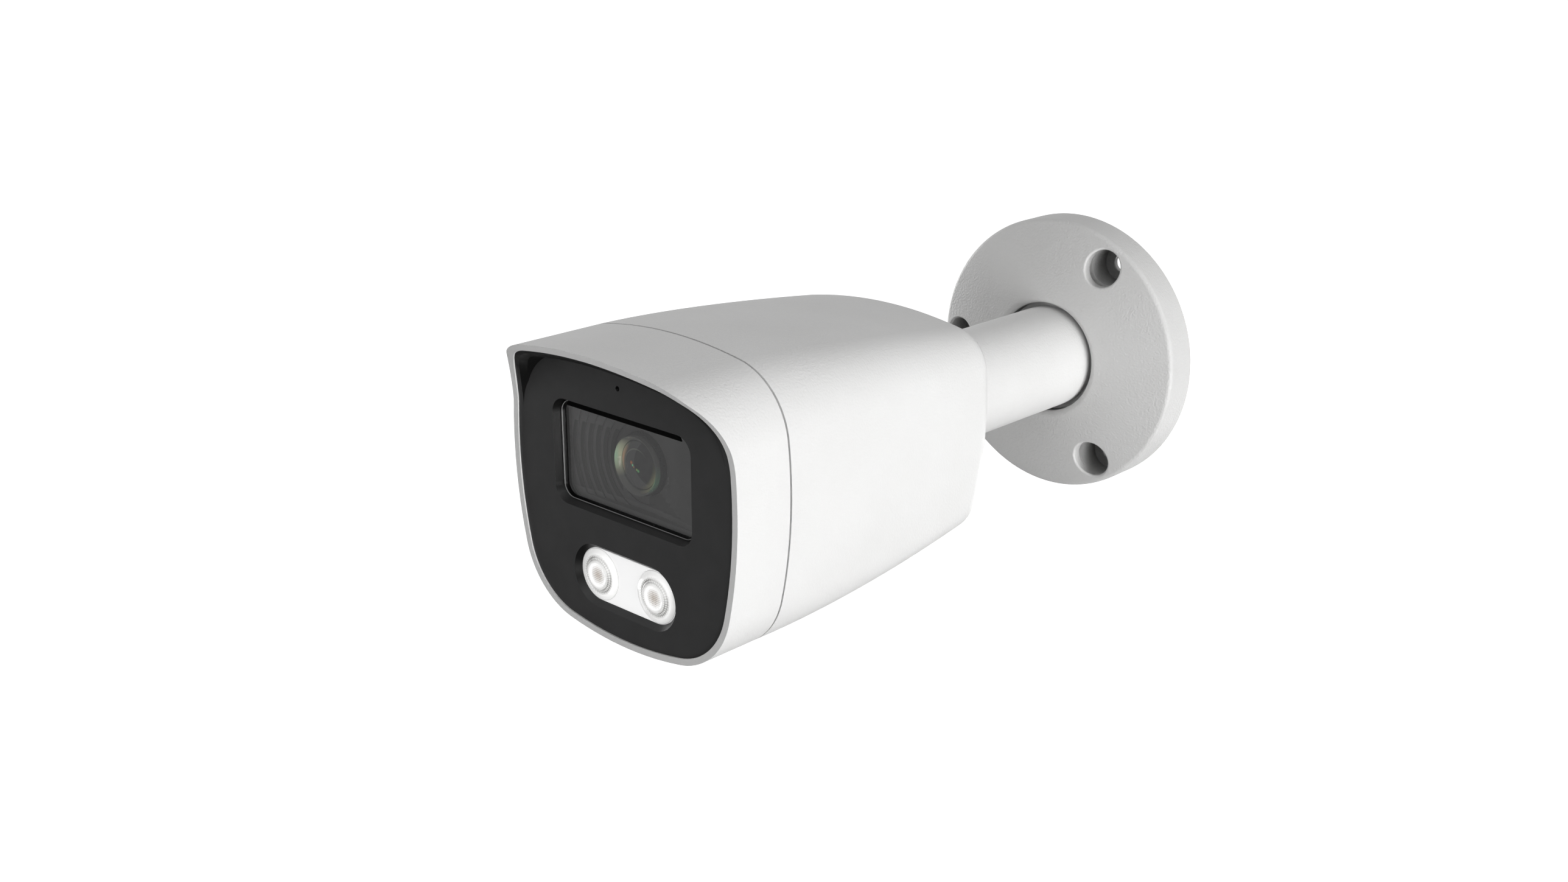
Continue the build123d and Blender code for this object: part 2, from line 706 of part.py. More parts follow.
with BuildPart() as tilt_screw:
    screw_tip = nut_seat + nut_thickness + 0.1
    hinge_disc(pin_radius, -screw_tip, screw_tip + screw_head_seat)
    hinge_disc(screw_head_radius, screw_head_seat, screw_head_end - screw_head_seat)
    chamfer(tilt_screw.edges().filter_by(GeomType.CIRCLE).sort_by(Axis.X)[-1], 0.4)
    hinge_hexagon(2.0, screw_head_end - 1.6, 2.0, Mode.SUBTRACT)
finish(tilt_screw, "tilt_screw")

with BuildPart() as tilt_nut:
    hinge_hexagon(nut_corner_radius, -nut_seat, -nut_thickness)
    hinge_disc(pin_radius, -nut_seat, -nut_thickness, Mode.SUBTRACT)
finish(tilt_nut, "tilt_nut")

with BuildPart() as tilt_washers:
    tilt_washer_start = tongue_half_width + running_gap
    tilt_washer_length = fork_half_gap - running_gap - tilt_washer_start
    for side in (-1, 1):
        hinge_disc(6.5, side * tilt_washer_start, side * tilt_washer_length)
        hinge_disc(pin_radius, side * tilt_washer_start, side * tilt_washer_length, Mode.SUBTRACT)
finish(tilt_washers, "tilt_washers")

# ---------------------------------------------------------------- wall plate
mounting_places = around(screw_circle_radius, screw_angles)
retainer_places = around(retainer_screw_circle, retainer_angles)

with BuildPart() as wall_plate:
    # domed shell, turned about the arm's axis; profile in (radius, y)
    with BuildSketch(Plane.XY) as shell_profile:
        with BuildLine():
            edge = Line((plate_radius, 0), (plate_radius, -plate_edge_height))
            dome = ThreePointArc(
                edge @ 1, (28.6, -10.5), (plate_opening_radius, -plate_lip_height)
            )
            bore = Line(dome @ 1, (plate_opening_radius, -seat_height))
            seat = Line(bore @ 1, (18.3, -seat_height))
            inside = ThreePointArc(
                seat @ 1, (26.0, -8.9), (plate_radius - plate_shell, -plate_edge_height + plate_shell)
            )
            Polyline(inside @ 1, (plate_radius - plate_shell, 0), edge @ 0)
        make_face()
        fillet(shell_profile.vertices().sort_by(Axis.Y)[0], 1.5)
        fillet(shell_profile.vertices().group_by(Axis.X)[-1].sort_by(Axis.Y)[0], 1.3)
    revolve(axis=Axis.Y)
    discs(mounting_places, boss_radius, face_to_wall - 7.4, face_to_wall)
    discs(mounting_places, counterbore_radius, 130, face_to_wall - counterbore_floor, Mode.SUBTRACT)
    discs(mounting_places, screw_hole_radius, 130, face_to_wall, Mode.SUBTRACT)
    # soften the counterbores' edges, which are the edges about as long as their circles
    counterbore_length = 2 * pi * counterbore_radius
    counterbore_edges = wall_plate.edges().filter_by(
        lambda edge: abs(edge.length - counterbore_length) < 1 and edge.center().Y < -plate_edge_height
    )
    fillet(counterbore_edges, counterbore_edge)
    discs(retainer_places, 3.0, face_to_wall - 9.6, retainer_front)
    discs(retainer_places, retainer_screw_radius, face_to_wall - 8.6, retainer_front, Mode.SUBTRACT)
finish(wall_plate, "wall_plate")

with BuildPart() as friction_ring:
    ring(17.2, foot_radius + 0.4, foot_back + running_gap, retainer_front)
finish(friction_ring, "friction_ring")

with BuildPart() as swivel_retainer:
    ring(retainer_radius, foot_radius + running_gap, retainer_front, retainer_back)
    discs(mounting_places, boss_radius + 0.3, retainer_front, retainer_back, Mode.SUBTRACT)
    discs(retainer_places, retainer_screw_radius, retainer_front, retainer_back, Mode.SUBTRACT)
finish(swivel_retainer, "swivel_retainer")

with BuildPart() as retainer_screws:
    rear_screws(
        retainer_places, retainer_screw_radius, 2.7, retainer_back, retainer_back + 1.8, face_to_wall - 8.4
    )
finish(retainer_screws, "retainer_screws")
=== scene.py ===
import json
import math

import bmesh
import bpy
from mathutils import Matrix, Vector


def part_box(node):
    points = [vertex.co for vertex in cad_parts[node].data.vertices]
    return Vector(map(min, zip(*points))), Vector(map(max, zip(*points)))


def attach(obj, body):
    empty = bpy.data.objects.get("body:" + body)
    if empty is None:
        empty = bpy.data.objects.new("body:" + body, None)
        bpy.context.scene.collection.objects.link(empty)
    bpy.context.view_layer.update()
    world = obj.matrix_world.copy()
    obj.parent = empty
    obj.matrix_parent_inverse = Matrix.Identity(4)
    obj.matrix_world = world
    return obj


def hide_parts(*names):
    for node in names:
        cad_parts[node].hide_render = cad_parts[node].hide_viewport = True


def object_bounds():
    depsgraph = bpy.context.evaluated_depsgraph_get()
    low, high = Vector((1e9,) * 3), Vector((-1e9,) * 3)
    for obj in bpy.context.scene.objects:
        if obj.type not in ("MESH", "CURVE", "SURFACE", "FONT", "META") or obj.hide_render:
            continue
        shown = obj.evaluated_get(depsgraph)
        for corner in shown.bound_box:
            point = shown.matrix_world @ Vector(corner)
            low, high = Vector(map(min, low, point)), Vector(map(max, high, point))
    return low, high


# Compact bullet security camera on a wall bracket. Metres, +Z up, the camera looks along -Y.
# Places are read from the CAD frame; lengths written with MM, and those named so, are millimetres.
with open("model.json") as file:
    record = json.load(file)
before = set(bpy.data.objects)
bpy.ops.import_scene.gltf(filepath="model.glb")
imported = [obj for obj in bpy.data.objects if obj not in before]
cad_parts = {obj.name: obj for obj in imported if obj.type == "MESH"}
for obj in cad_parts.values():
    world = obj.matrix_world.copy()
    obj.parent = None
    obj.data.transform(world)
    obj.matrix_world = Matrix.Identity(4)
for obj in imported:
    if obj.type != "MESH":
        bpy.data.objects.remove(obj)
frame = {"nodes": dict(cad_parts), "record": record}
cad_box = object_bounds()
nodes = frame["nodes"]
MM = 0.001


# ---------------------------------------------------------------- node helpers
def new_material(name, roughness, metallic=0.0, sockets=()):
    """Node material with its Principled shader's constant sockets set; returns material, tree and shader."""
    made = bpy.data.materials.new(name)
    made.use_nodes = True
    shader = made.node_tree.nodes["Principled BSDF"]
    shader.inputs["Roughness"].default_value = roughness
    shader.inputs["Metallic"].default_value = metallic
    for socket, value in dict(sockets).items():
        shader.inputs[socket].default_value = value
    return made, made.node_tree, shader


def place(tree, stretch=(1, 1, 1)):
    """The object's own coordinates, squeezed by a factor along each axis."""
    where = tree.nodes.new("ShaderNodeTexCoord")
    mapped = tree.nodes.new("ShaderNodeMapping")
    mapped.inputs["Scale"].default_value = stretch
    tree.links.new(where.outputs["Object"], mapped.inputs["Vector"])
    return mapped.outputs["Vector"]


def noise(tree, size, detail=2.0, roughness=0.5, stretch=(1, 1, 1)):
    """Soft noise with features about this many metres wide."""
    made = tree.nodes.new("ShaderNodeTexNoise")
    made.inputs["Scale"].default_value = 1 / size
    made.inputs["Detail"].default_value = detail
    made.inputs["Roughness"].default_value = roughness
    tree.links.new(place(tree, stretch), made.inputs["Vector"])
    return made.outputs["Fac"]


def cells(tree, size, feature="F1", stretch=(1, 1, 1)):
    """Distance to the nearest of scattered points about this many metres apart."""
    made = tree.nodes.new("ShaderNodeTexVoronoi")
    made.feature = feature
    made.inputs["Scale"].default_value = 1 / size
    tree.links.new(place(tree, stretch), made.inputs["Vector"])
    return made.outputs["Distance"]


def remap(tree, value, from_low, from_high, low, high):
    made = tree.nodes.new("ShaderNodeMapRange")
    made.inputs["From Min"].default_value = from_low
    made.inputs["From Max"].default_value = from_high
    made.inputs["To Min"].default_value = low
    made.inputs["To Max"].default_value = high
    tree.links.new(value, made.inputs["Value"])
    return made.outputs["Result"]


def ramp(tree, value, stops):
    """Colours along a value, as (position, (r, g, b)) stops."""
    made = tree.nodes.new("ShaderNodeValToRGB")
    elements = made.color_ramp.elements
    while len(elements) < len(stops):
        elements.new(0.5)
    for element, (position, colour) in zip(elements, stops):
        element.position = position
        element.color = (*colour, 1)
    tree.links.new(value, made.inputs["Fac"])
    return made.outputs["Color"]


def add(tree, a, b, share):
    """a plus share of b."""
    made = tree.nodes.new("ShaderNodeMath")
    made.operation = "MULTIPLY_ADD"
    made.inputs[1].default_value = share
    tree.links.new(b, made.inputs[0])
    tree.links.new(a, made.inputs[2])
    return made.outputs["Value"]


def relief(tree, shader, height, depth, strength=1.0):
    """Bump of this many metres on the shader's normal."""
    made = tree.nodes.new("ShaderNodeBump")
    made.inputs["Distance"].default_value = depth
    made.inputs["Strength"].default_value = strength
    tree.links.new(height, made.inputs["Height"])
    tree.links.new(made.outputs["Normal"], shader.inputs["Normal"])


def tint(tree, shader, value, dark, light, low=0.3, high=0.7):
    """Base colour that varies between two near tones."""
    tree.links.new(ramp(tree, value, ((low, dark), (high, light))), shader.inputs["Base Color"])


def gloss(tree, shader, value, low, high):
    tree.links.new(remap(tree, value, 0.3, 0.7, low, high), shader.inputs["Roughness"])


def calculate(tree, operation, *values):
    """Math node over sockets and plain numbers."""
    made = tree.nodes.new("ShaderNodeMath")
    made.operation = operation
    for socket, value in zip(made.inputs, values):
        if isinstance(value, (int, float)):
            socket.default_value = value
        else:
            tree.links.new(value, socket)
    return made.outputs["Value"]


def split_axes(tree, kind):
    """X, Y and Z of the object's own coordinates ("Object") or of its surface direction ("Normal")."""
    where = tree.nodes.new("ShaderNodeTexCoord")
    split = tree.nodes.new("ShaderNodeSeparateXYZ")
    tree.links.new(where.outputs[kind], split.inputs["Vector"])
    return split.outputs["X"], split.outputs["Y"], split.outputs["Z"]


def face_on(tree):
    """The object's own x and z sockets, as seen from its front."""
    x, _, z = split_axes(tree, "Object")
    return x, z


def length(tree, across, up):
    """Length of a pair of sockets at right angles."""
    squares = [calculate(tree, "POWER", leg, 2.0) for leg in (across, up)]
    return calculate(tree, "SQRT", calculate(tree, "ADD", *squares))


def share_of(tree, value, part):
    """A share scaled down by a plain number or by another share."""
    return calculate(tree, "MULTIPLY", value, part)


def spot(tree, centre, radius, soft):
    """1 inside a circle in the object's own xz plane, 0 outside it, all in millimetres."""
    x, z = face_on(tree)
    across = calculate(tree, "SUBTRACT", x, centre[0] * MM)
    up = calculate(tree, "SUBTRACT", z, centre[1] * MM)
    return remap(tree, length(tree, across, up), (radius - soft) * MM, (radius + soft) * MM, 1.0, 0.0)


def crescent(tree, outer, inner):
    """What is left of one spot when another covers part of it; each is (centre, radius, soft)."""
    uncovered = calculate(tree, "SUBTRACT", 1.0, spot(tree, *inner))
    return share_of(tree, spot(tree, *outer), uncovered)


def paint(tree, under, share, colour):
    """Lay a colour over another by a share."""
    made = tree.nodes.new("ShaderNodeMix")
    made.data_type = "RGBA"
    tree.links.new(share, made.inputs["Factor"])
    tree.links.new(under, made.inputs["A"])
    made.inputs["B"].default_value = (*colour, 1)
    return made.outputs["Result"]


def dots(tree, size, vector=None):
    """Regular lattice of soft dots, 0 at each dot's middle."""
    made = tree.nodes.new("ShaderNodeTexVoronoi")
    made.inputs["Scale"].default_value = 1 / size
    made.inputs["Randomness"].default_value = 0.0
    tree.links.new(vector or place(tree, (1, 0, 1)), made.inputs["Vector"])
    return made.outputs["Distance"]


def polar(tree, around, pitch):
    """Cells about the object's y axis, so many around and a pitch apart; also the radius in millimetres."""
    x, z = face_on(tree)
    angle = calculate(tree, "ARCTAN2", z, x)
    radius = length(tree, x, z)
    both = tree.nodes.new("ShaderNodeCombineXYZ")
    tree.links.new(calculate(tree, "MULTIPLY", angle, around / math.tau), both.inputs["X"])
    tree.links.new(calculate(tree, "MULTIPLY", radius, 1 / (pitch * MM)), both.inputs["Y"])
    return both.outputs["Vector"], calculate(tree, "MULTIPLY", radius, 1 / MM)


# ---------------------------------------------------------------- materials, one for each slot of the record
# Sheens of the lens coating: a spot, the spot that covers part of it, where it fades out, and its colour.
# Each spot is a centre, a radius and a softness in millimetres about the lens axis.
SHEENS = (
    (((0, 0), 6.2, 0.05), ((0, 0), 5.25, 0.05), None, (0.055, 0.055, 0.052)),
    (((0, 0), 4.95, 0.1), ((5.4, 1.4), 5.6, 0.12), None, (0.045, 0.045, 0.046)),
    (((0, 0), 3.55, 0.05), ((0.12, -0.16), 3.5, 0.08), ((-1.5, 2.4), 3.0, 1.5), (0.10, 0.11, 0.09)),
    (((0, 0), 6.15, 0.1), ((1.2, -0.3), 5.7, 0.5), ((-5.4, 1.3), 2.4, 2.2), (0.40, 0.42, 0.28)),
    (((0, 0), 6.2, 0.1), ((0.5, 0.0), 6.1, 0.25), ((-5.8, 1.0), 1.6, 1.5), (0.28, 0.42, 0.29)),
    (((0, 0), 4.95, 0.1), ((0.8, -0.25), 4.75, 0.4), ((-4.6, 1.0), 1.8, 1.6), (0.40, 0.22, 0.13)),
    (((0, 0), 5.75, 0.12), ((-0.7, 0.5), 5.3, 0.4), ((4.4, -2.8), 2.6, 2.0), (0.19, 0.19, 0.11)),
    (((0, 0), 6.2, 0.1), ((-0.6, 0.4), 5.95, 0.3), ((5.4, -2.2), 2.0, 1.6), (0.06, 0.15, 0.09)),
    (((0, 0), 5.16, 0.03), ((0, 0), 5.04, 0.03), None, (0.006, 0.006, 0.006)),
)
# Small coloured glints painted on the lens: x and z from its axis and radius in millimetres, and colour.
GLINTS = (
    (-1.05, 0.55, 0.30, (0.35, 0.12, 0.05)),
    (-0.65, 0.10, 0.22, (0.18, 0.50, 0.28)),
    (-0.30, -0.20, 0.14, (0.40, 0.18, 0.06)),
    (0.55, -0.60, 0.20, (0.24, 0.34, 0.10)),
    (0.95, -0.80, 0.26, (0.10, 0.30, 0.12)),
)


# Wall plate: directions of its screw holes about the arm, in degrees from +X towards +Z, and how far out
# the painted shade in its counterbores and in the arm's opening reaches, in millimetres.
SCREW_ANGLES = (60, 180, 300)
COUNTERBORE_RADIUS = 4.64
ARM_OPENING_RADIUS = 14.1
# Dark ribs of painted shade on the shroud beside the lens: radius of the first and distance to the next, in
# millimetres.
RIB_RADIUS, RIB_PITCH = 9.2, 1.95
# Top of the shroud's lighter lower margin, from the lens axis, in millimetres.
SHROUD_MARGIN = -8.7
# Painted highlights on the lamp lenses: beads round the ring, and the distance between its rows in
# millimetres.
LAMP_BEADS, LAMP_BEAD_PITCH = 42.0, 0.5
# Pitch of the grid in the middle of the lamp lenses, both painted and in relief, in millimetres.
LAMP_GRID_PITCH = 0.41


def screw_places():
    """Millimetres across and up from the arm's axis to each screw hole, on the circle the record states."""
    mounts = frame["record"]["mounts"]
    circle = next(mount["dims"]["pcd_mm"] for mount in mounts if mount["name"] == "wall_screws") / 2
    angles = [math.radians(angle) for angle in SCREW_ANGLES]
    return [(circle * math.cos(angle), circle * math.sin(angle)) for angle in angles]


def orange_peel(tree, shader, depth):
    """Uneven gloss and fine bumps of a powder coat."""
    gloss(tree, shader, noise(tree, 3 * MM), 0.40, 0.50)
    peel = noise(tree, 0.5 * MM, detail=1.0, roughness=0.4)
    relief(tree, shader, add(tree, peel, noise(tree, 0.15 * MM), 0.15), depth)


def white_paint():
    """Fine orange-peel powder coat over cast metal."""
    made, tree, shader = new_material("white_paint", 0.45, sockets={"Specular IOR Level": 0.45})
    tint(tree, shader, noise(tree, 18 * MM), (0.705, 0.703, 0.698), (0.725, 0.724, 0.72))
    orange_peel(tree, shader, 0.08 * MM)
    return made


def plate_paint():
    """The same coat on the wall plate, greyer as painted shade, with painted shade down its holes and round
    the arm.
    """
    made, tree, shader = new_material("plate_paint", 0.45, sockets={"Specular IOR Level": 0.45})
    # Greyer than the body's coat, as painted shade.
    shade = ramp(tree, noise(tree, 18 * MM), ((0.3, (0.62, 0.618, 0.613)), (0.7, (0.64, 0.639, 0.635))))
    _, y, _ = split_axes(tree, "Object")
    # Painted shade: the deeper in a counterbore, the darker, but not on the plate's back.
    counterbore_shade = remap(tree, y, -11 * MM, -4 * MM, 0.05, 0.65)
    short_of_back = remap(tree, y, -1.3 * MM, -0.9 * MM, 1.0, 0.0)
    counterbore_shade = share_of(tree, counterbore_shade, short_of_back)
    # Painted shade in the arm's opening, round the arm.
    arm_gap_shade = spot(tree, (0, 0), ARM_OPENING_RADIUS, 0.05)
    shade = paint(tree, shade, share_of(tree, arm_gap_shade, 0.85), (0.03, 0.03, 0.03))
    for centre in screw_places():
        hole = spot(tree, centre, COUNTERBORE_RADIUS, 0.03)
        shade = paint(tree, shade, share_of(tree, hole, counterbore_shade), (0.1, 0.1, 0.1))
    tree.links.new(shade, shader.inputs["Base Color"])
    orange_peel(tree, shader, 0.11 * MM)
    return made


def black_face():
    """Fine-textured satin cover, with near-black painted shade on the walls of its openings that don't face
    up.
    """
    made, tree, shader = new_material("black_face", 0.38, sockets={"Specular IOR Level": 0.2})
    _, forward, upward = split_axes(tree, "Normal")
    # Painted shade: walls of the openings near black, less where they face up.
    wall_shade = remap(tree, calculate(tree, "ABSOLUTE", forward), 0.85, 0.985, 1.0, 0.0)
    wall_shade = share_of(tree, wall_shade, remap(tree, upward, 0.25, 0.6, 1.0, 0.1))
    shade = ramp(tree, noise(tree, 6 * MM), ((0.3, (0.044, 0.044, 0.0445)), (0.7, (0.049, 0.049, 0.0495))))
    tree.links.new(paint(tree, shade, wall_shade, (0.004, 0.004, 0.004)), shader.inputs["Base Color"])
    gloss(tree, shader, noise(tree, 2 * MM), 0.34, 0.42)
    relief(tree, shader, noise(tree, 0.18 * MM), 0.006 * MM)
    return made


def clear_window():
    """Smoked window whose grey haze is a glowing painted reflection, weaker in a margin along its left and
    lower sides.
    """
    made, tree, shader = new_material(
        "clear_window", 0.0, sockets={"IOR": 1.2, "Transmission Weight": 1.0, "Emission Strength": 0.028}
    )
    tint(tree, shader, noise(tree, 8 * MM), (0.60, 0.60, 0.60), (0.64, 0.64, 0.64))
    # Painted reflection, laid on as a faint glow.
    painted_reflection = ramp(tree, noise(tree, 12 * MM), ((0.3, (0.94, 0.94, 0.94)), (0.7, (1.0, 1.0, 1.0))))
    low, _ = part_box("window_glass")
    x, z = face_on(tree)
    corner, left_margin, lower_margin = 3.0 * MM, 2.9 * MM, 2.2 * MM
    inward = calculate(tree, "SUBTRACT", low.x + left_margin + corner, x)
    upward = calculate(tree, "SUBTRACT", low.z + lower_margin + corner, z)
    reach = length(tree, *(calculate(tree, "MAXIMUM", leg, 0.0) for leg in (inward, upward)))
    margin = remap(tree, reach, corner - 0.08 * MM, corner + 0.08 * MM, 0.0, 0.4)
    tree.links.new(paint(tree, painted_reflection, margin, (0.3, 0.3, 0.3)), shader.inputs["Emission Color"])
    return made


def lens_coated():
    """Dark lens glass; its coating's sheens and glints are painted in fixed places, and they emit light."""
    made, tree, shader = new_material("lens_coated", 0.03, sockets={"IOR": 1.4, "Emission Strength": 0.4})
    shade = ramp(tree, noise(tree, 2 * MM), ((0.3, (0.012, 0.012, 0.013)), (0.7, (0.02, 0.02, 0.02))))
    for outer, inner, patch, colour in SHEENS:
        share = crescent(tree, outer, inner)
        if patch:
            share = share_of(tree, share, spot(tree, *patch))
        shade = paint(tree, shade, share, colour)
    for x, z, radius, colour in GLINTS:
        shade = paint(tree, shade, spot(tree, (x, z), radius, radius * 0.6), colour)
    tree.links.new(shade, shader.inputs["Base Color"])
    tree.links.new(shade, shader.inputs["Emission Color"])
    return made


def lens_black():
    """Black anodised barrel with fine turning marks."""
    made, tree, shader = new_material("lens_black", 0.32, 0.4, {"Specular IOR Level": 0.5})
    tint(tree, shader, noise(tree, 1.5 * MM), (0.018, 0.018, 0.02), (0.03, 0.03, 0.032))
    gloss(tree, shader, noise(tree, 0.8 * MM), 0.26, 0.4)
    relief(tree, shader, noise(tree, 0.25 * MM, stretch=(0.2, 3, 0.2)), 0.01 * MM)
    return made


def stair_share(tree, x, z):
    """A flight of small steps that falls away to the right, below the lens."""
    going, rise, top = 1.3 * MM, 0.62 * MM, -3.4 * MM
    tread = calculate(tree, "FLOOR", calculate(tree, "MULTIPLY", x, 1 / going))
    edge = calculate(tree, "MULTIPLY", tread, -rise)
    below = calculate(tree, "LESS_THAN", z, calculate(tree, "ADD", edge, top))
    right = calculate(tree, "GREATER_THAN", x, going)
    above = calculate(tree, "GREATER_THAN", z, SHROUD_MARGIN * MM)
    return share_of(tree, share_of(tree, below, right), above)


def step(tree, value, place_of_step, before, after):
    """Change from one share to another within 0.1 mm of a place along a value, in millimetres."""
    soft = 0.1
    return remap(tree, value, (place_of_step - soft) * MM, (place_of_step + soft) * MM, before, after)


def shroud_grey():
    """Matt shroud with painted shade in dark arcs left of the lens, cut off level above and below, and small
    steps.
    """
    made, tree, shader = new_material("shroud_grey", 0.5, sockets={"Specular IOR Level": 0.4})
    lens_low, lens_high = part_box("lens_front_element")
    axis = (lens_low + lens_high) / 2
    x, z = face_on(tree)
    z = calculate(tree, "SUBTRACT", z, axis.z)
    radius = length(tree, x, z)
    # Painted shade in arcs where the shroud's steps rise.
    from_rib = calculate(tree, "SUBTRACT", radius, RIB_RADIUS * MM)
    wave = calculate(tree, "COSINE", calculate(tree, "MULTIPLY", from_rib, math.tau / (RIB_PITCH * MM)))
    share = remap(tree, wave, -0.2, 0.1, 0.0, 1.0)
    inner, outer, right, top = 8.6, 20.4, -6.2, 5.6
    edges = (
        step(tree, radius, inner, 0.0, 1.0),
        step(tree, radius, outer, 1.0, 0.0),
        step(tree, x, right, 1.0, 0.0),
        step(tree, z, SHROUD_MARGIN, 0.0, 1.0),
        step(tree, z, top, 1.0, 0.0),
    )
    for edge in edges:
        share = share_of(tree, share, edge)
    shade = ramp(tree, noise(tree, 5 * MM), ((0.3, (0.082, 0.082, 0.083)), (0.7, (0.09, 0.09, 0.09))))
    margin = step(tree, z, SHROUD_MARGIN - 0.1, 0.5, 0.0)
    shade = paint(tree, shade, margin, (0.16, 0.16, 0.16))
    shade = paint(tree, shade, share, (0.03, 0.03, 0.03))
    shade = paint(tree, shade, stair_share(tree, x, z), (0.055, 0.055, 0.055))
    # Painted shade on the walls of the shroud's steps.
    _, forward, _ = split_axes(tree, "Normal")
    steps = remap(tree, calculate(tree, "ABSOLUTE", forward), 0.5, 0.9, 1.0, 0.0)
    tree.links.new(paint(tree, shade, steps, (0.03, 0.03, 0.03)), shader.inputs["Base Color"])
    relief(tree, shader, noise(tree, 0.15 * MM), 0.012 * MM)
    return made


def black_plastic():
    made, tree, shader = new_material("black_plastic", 0.55, sockets={"Specular IOR Level": 0.25})
    tint(tree, shader, noise(tree, 4 * MM), (0.006, 0.006, 0.006), (0.010, 0.010, 0.010))
    relief(tree, shader, noise(tree, 0.3 * MM), 0.02 * MM)
    return made


def black_rubber():
    made, tree, shader = new_material("black_rubber", 0.7, sockets={"Specular IOR Level": 0.3})
    tint(tree, shader, noise(tree, 3 * MM), (0.018, 0.018, 0.018), (0.03, 0.03, 0.029))
    gloss(tree, shader, noise(tree, 1 * MM), 0.6, 0.8)
    relief(tree, shader, noise(tree, 0.2 * MM), 0.015 * MM)
    return made


def lamp_white():
    """Glossy white lamp plate, which also emits light."""
    made, tree, shader = new_material(
        "lamp_white", 0.18, sockets={"Emission Color": (1, 1, 1, 1), "Emission Strength": 0.45}
    )
    tint(tree, shader, noise(tree, 4 * MM), (0.88, 0.88, 0.88), (0.91, 0.91, 0.905))
    relief(tree, shader, noise(tree, 0.8 * MM), 0.004 * MM)
    return made


def lamp_clear():
    """Moulded lamp lens, which also emits light: a dotted grid in the middle, and a ring of painted shade
    with beads of painted highlight.
    """
    made, tree, shader = new_material(
        "lamp_clear", 0.12, sockets={"Coat Weight": 0.5, "Coat Roughness": 0.05, "Emission Strength": 0.62}
    )
    rings, radius = polar(tree, LAMP_BEADS, LAMP_BEAD_PITCH)
    beads = remap(tree, dots(tree, 1.0, rings), 0.12, 0.5, 1.0, 0.0)
    grid = remap(tree, dots(tree, LAMP_GRID_PITCH * MM), 0.15, 0.5, 1.0, 0.0)
    # Painted shade across the ring, by radius.
    ring_shade = (
        (0.0, 0.0), (0.14, 0.5), (0.28, 1.0), (0.5, 0.9),
        (0.6, 0.35), (0.68, 0.12), (0.75, 0.25), (1.0, 0.25),
    )
    stops = [(position, (value, value, value)) for position, value in ring_shade]
    band = ramp(tree, remap(tree, radius, 2.4, 5.5, 0.0, 1.0), stops)
    # Painted shade, darkest at upper left and lower right.
    x, z = face_on(tree)
    downhill = calculate(tree, "SUBTRACT", x, z)
    slant = calculate(tree, "DIVIDE", downhill, calculate(tree, "MULTIPLY", radius, MM))
    slant = calculate(tree, "POWER", calculate(tree, "ABSOLUTE", slant), 2.0)
    directional_shade = remap(tree, slant, 0.0, 2.0, 0.55, 1.0)
    patchy = share_of(tree, directional_shade, remap(tree, noise(tree, 2.5 * MM), 0.35, 0.65, 0.75, 1.0))
    shade = ramp(tree, noise(tree, 1 * MM), ((0.3, (0.90, 0.90, 0.89)), (0.7, (0.95, 0.95, 0.945))))
    ring_share = share_of(tree, band, patchy)
    shade = paint(tree, shade, share_of(tree, ring_share, 0.95), (0.06, 0.057, 0.052))
    # Beads of painted highlight on the ring.
    bead_highlight = share_of(tree, beads, remap(tree, band, 0.3, 0.6, 0.0, 0.55))
    shade = paint(tree, shade, bead_highlight, (0.85, 0.85, 0.84))
    chip_glow = spot(tree, (0, 0), 1.2, 0.9)
    shade = paint(tree, shade, share_of(tree, chip_glow, 0.8), (0.46, 0.40, 0.35))
    grid_share = share_of(tree, grid, spot(tree, (0, 0), 1.9, 0.55))
    shade = paint(tree, shade, share_of(tree, grid_share, 0.75), (0.15, 0.13, 0.12))
    border = crescent(tree, ((0, 0), 5.7, 0.04), ((0, 0), 5.5, 0.04))
    shade = paint(tree, shade, share_of(tree, border, 0.6), (0.3, 0.3, 0.3))
    tree.links.new(shade, shader.inputs["Base Color"])
    tree.links.new(shade, shader.inputs["Emission Color"])
    return made


def lamp_chip():
    made, tree, shader = new_material(
        "lamp_chip", 0.4, sockets={"Emission Color": (1, 0.8, 0.4, 1), "Emission Strength": 0.6}
    )
    tint(tree, shader, cells(tree, 0.3 * MM), (0.85, 0.66, 0.16), (0.95, 0.8, 0.3))
    return made


def filter_glass():
    made, tree, shader = new_material(
        "filter_glass", 0.02, sockets={"IOR": 1.5, "Transmission Weight": 0.8}
    )
    tint(tree, shader, noise(tree, 3 * MM), (0.35, 0.62, 0.66), (0.42, 0.7, 0.74))
    return made


def circuit(name, dark, light, copper):
    """Solder-masked board with fine tracks under the mask."""
    made, tree, shader = new_material(name, 0.35, sockets={"Coat Weight": 0.3})
    across = cells(tree, 1.6 * MM, "DISTANCE_TO_EDGE", (1, 0.1, 1))
    track = remap(tree, across, 0.02, 0.06, 0.0, 1.0)
    board = ramp(tree, noise(tree, 4 * MM), ((0.3, dark), (0.7, light)))
    mixed = tree.nodes.new("ShaderNodeMix")
    mixed.data_type = "RGBA"
    mixed.inputs["A"].default_value = (*copper, 1)
    tree.links.new(track, mixed.inputs["Factor"])
    tree.links.new(board, mixed.inputs["B"])
    tree.links.new(mixed.outputs["Result"], shader.inputs["Base Color"])
    relief(tree, shader, track, 0.03 * MM, 0.6)
    return made


def circuit_green():
    return circuit("circuit_green", (0.012, 0.10, 0.045), (0.016, 0.13, 0.06), (0.03, 0.2, 0.09))


def circuit_white():
    return circuit("circuit_white", (0.80, 0.80, 0.78), (0.85, 0.85, 0.83), (0.72, 0.72, 0.69))


